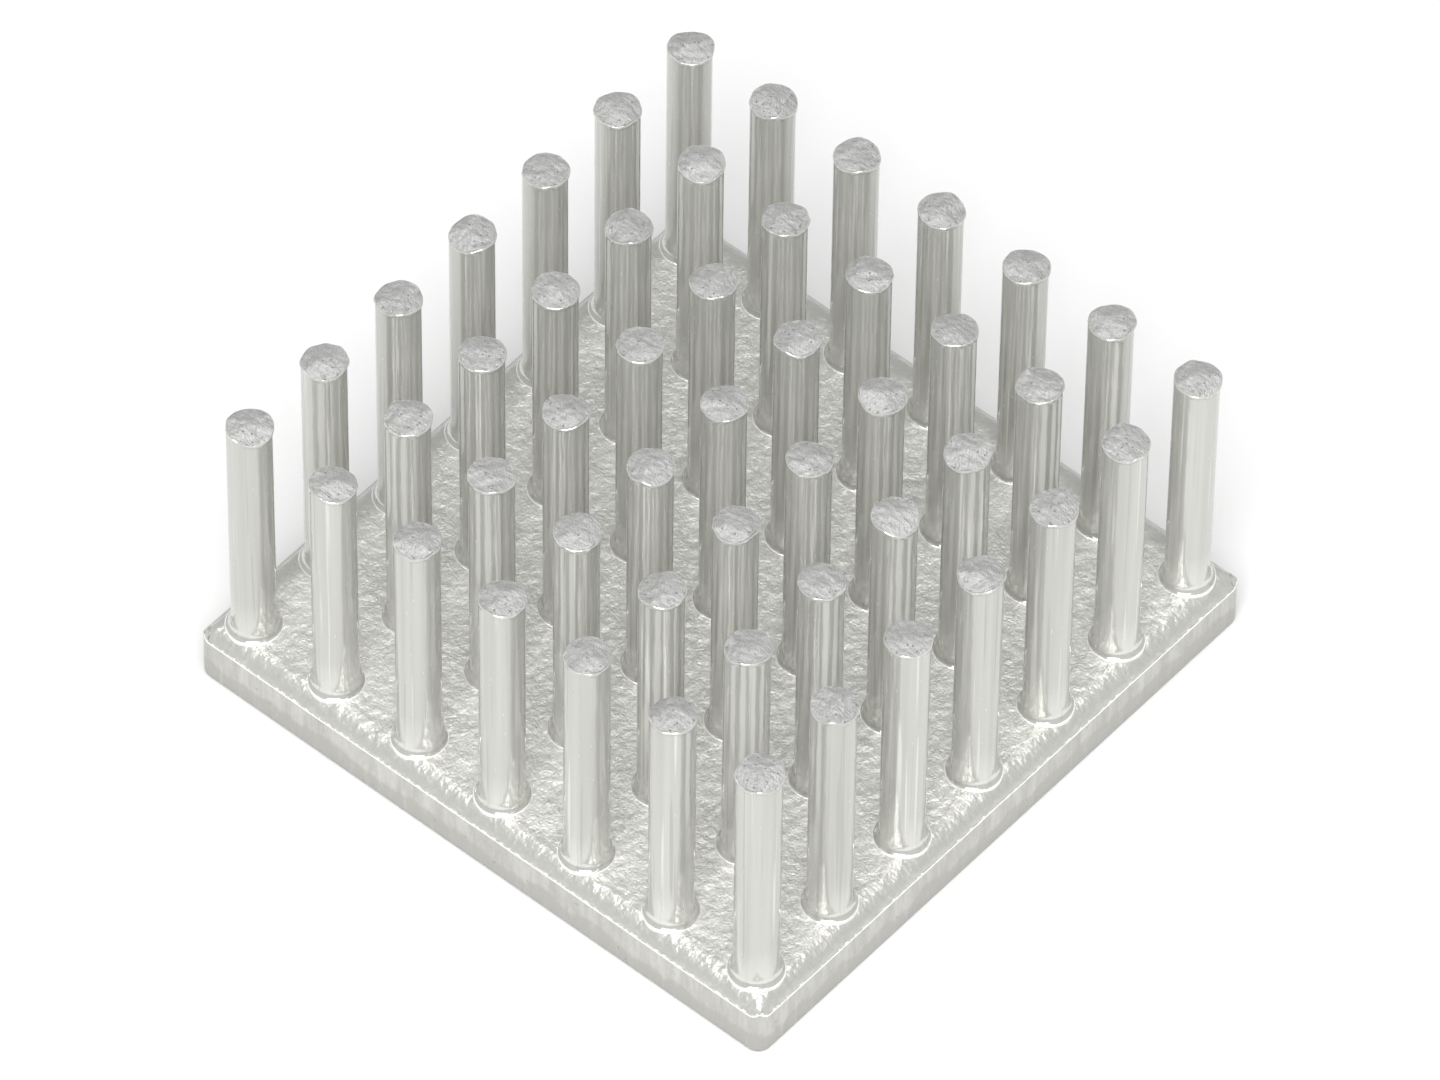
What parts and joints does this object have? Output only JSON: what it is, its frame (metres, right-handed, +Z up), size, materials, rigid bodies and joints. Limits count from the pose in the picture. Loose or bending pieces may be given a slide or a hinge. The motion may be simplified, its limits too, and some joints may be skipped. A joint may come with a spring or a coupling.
{
  "type": "pin fin heat sink",
  "caption": "Square forged aluminium heat sink with a flat contact face and a grid of round upright pins.",
  "frame": {"origin": "middle of the base's flat underside", "axes": "+Z up along the pins, away from the contact face; +X and +Y along the sides of the square base"},
  "size_m": [0.04, 0.04, 0.0204],
  "materials": {
    "aluminium": "bare cold-forged aluminium: bright drawn pins, a rough frosted base between them, satin sides and matte torn pin heads"
  },
  "bodies": {
    "root": {"heat_sink": "aluminium"}
  },
  "joints": []
}
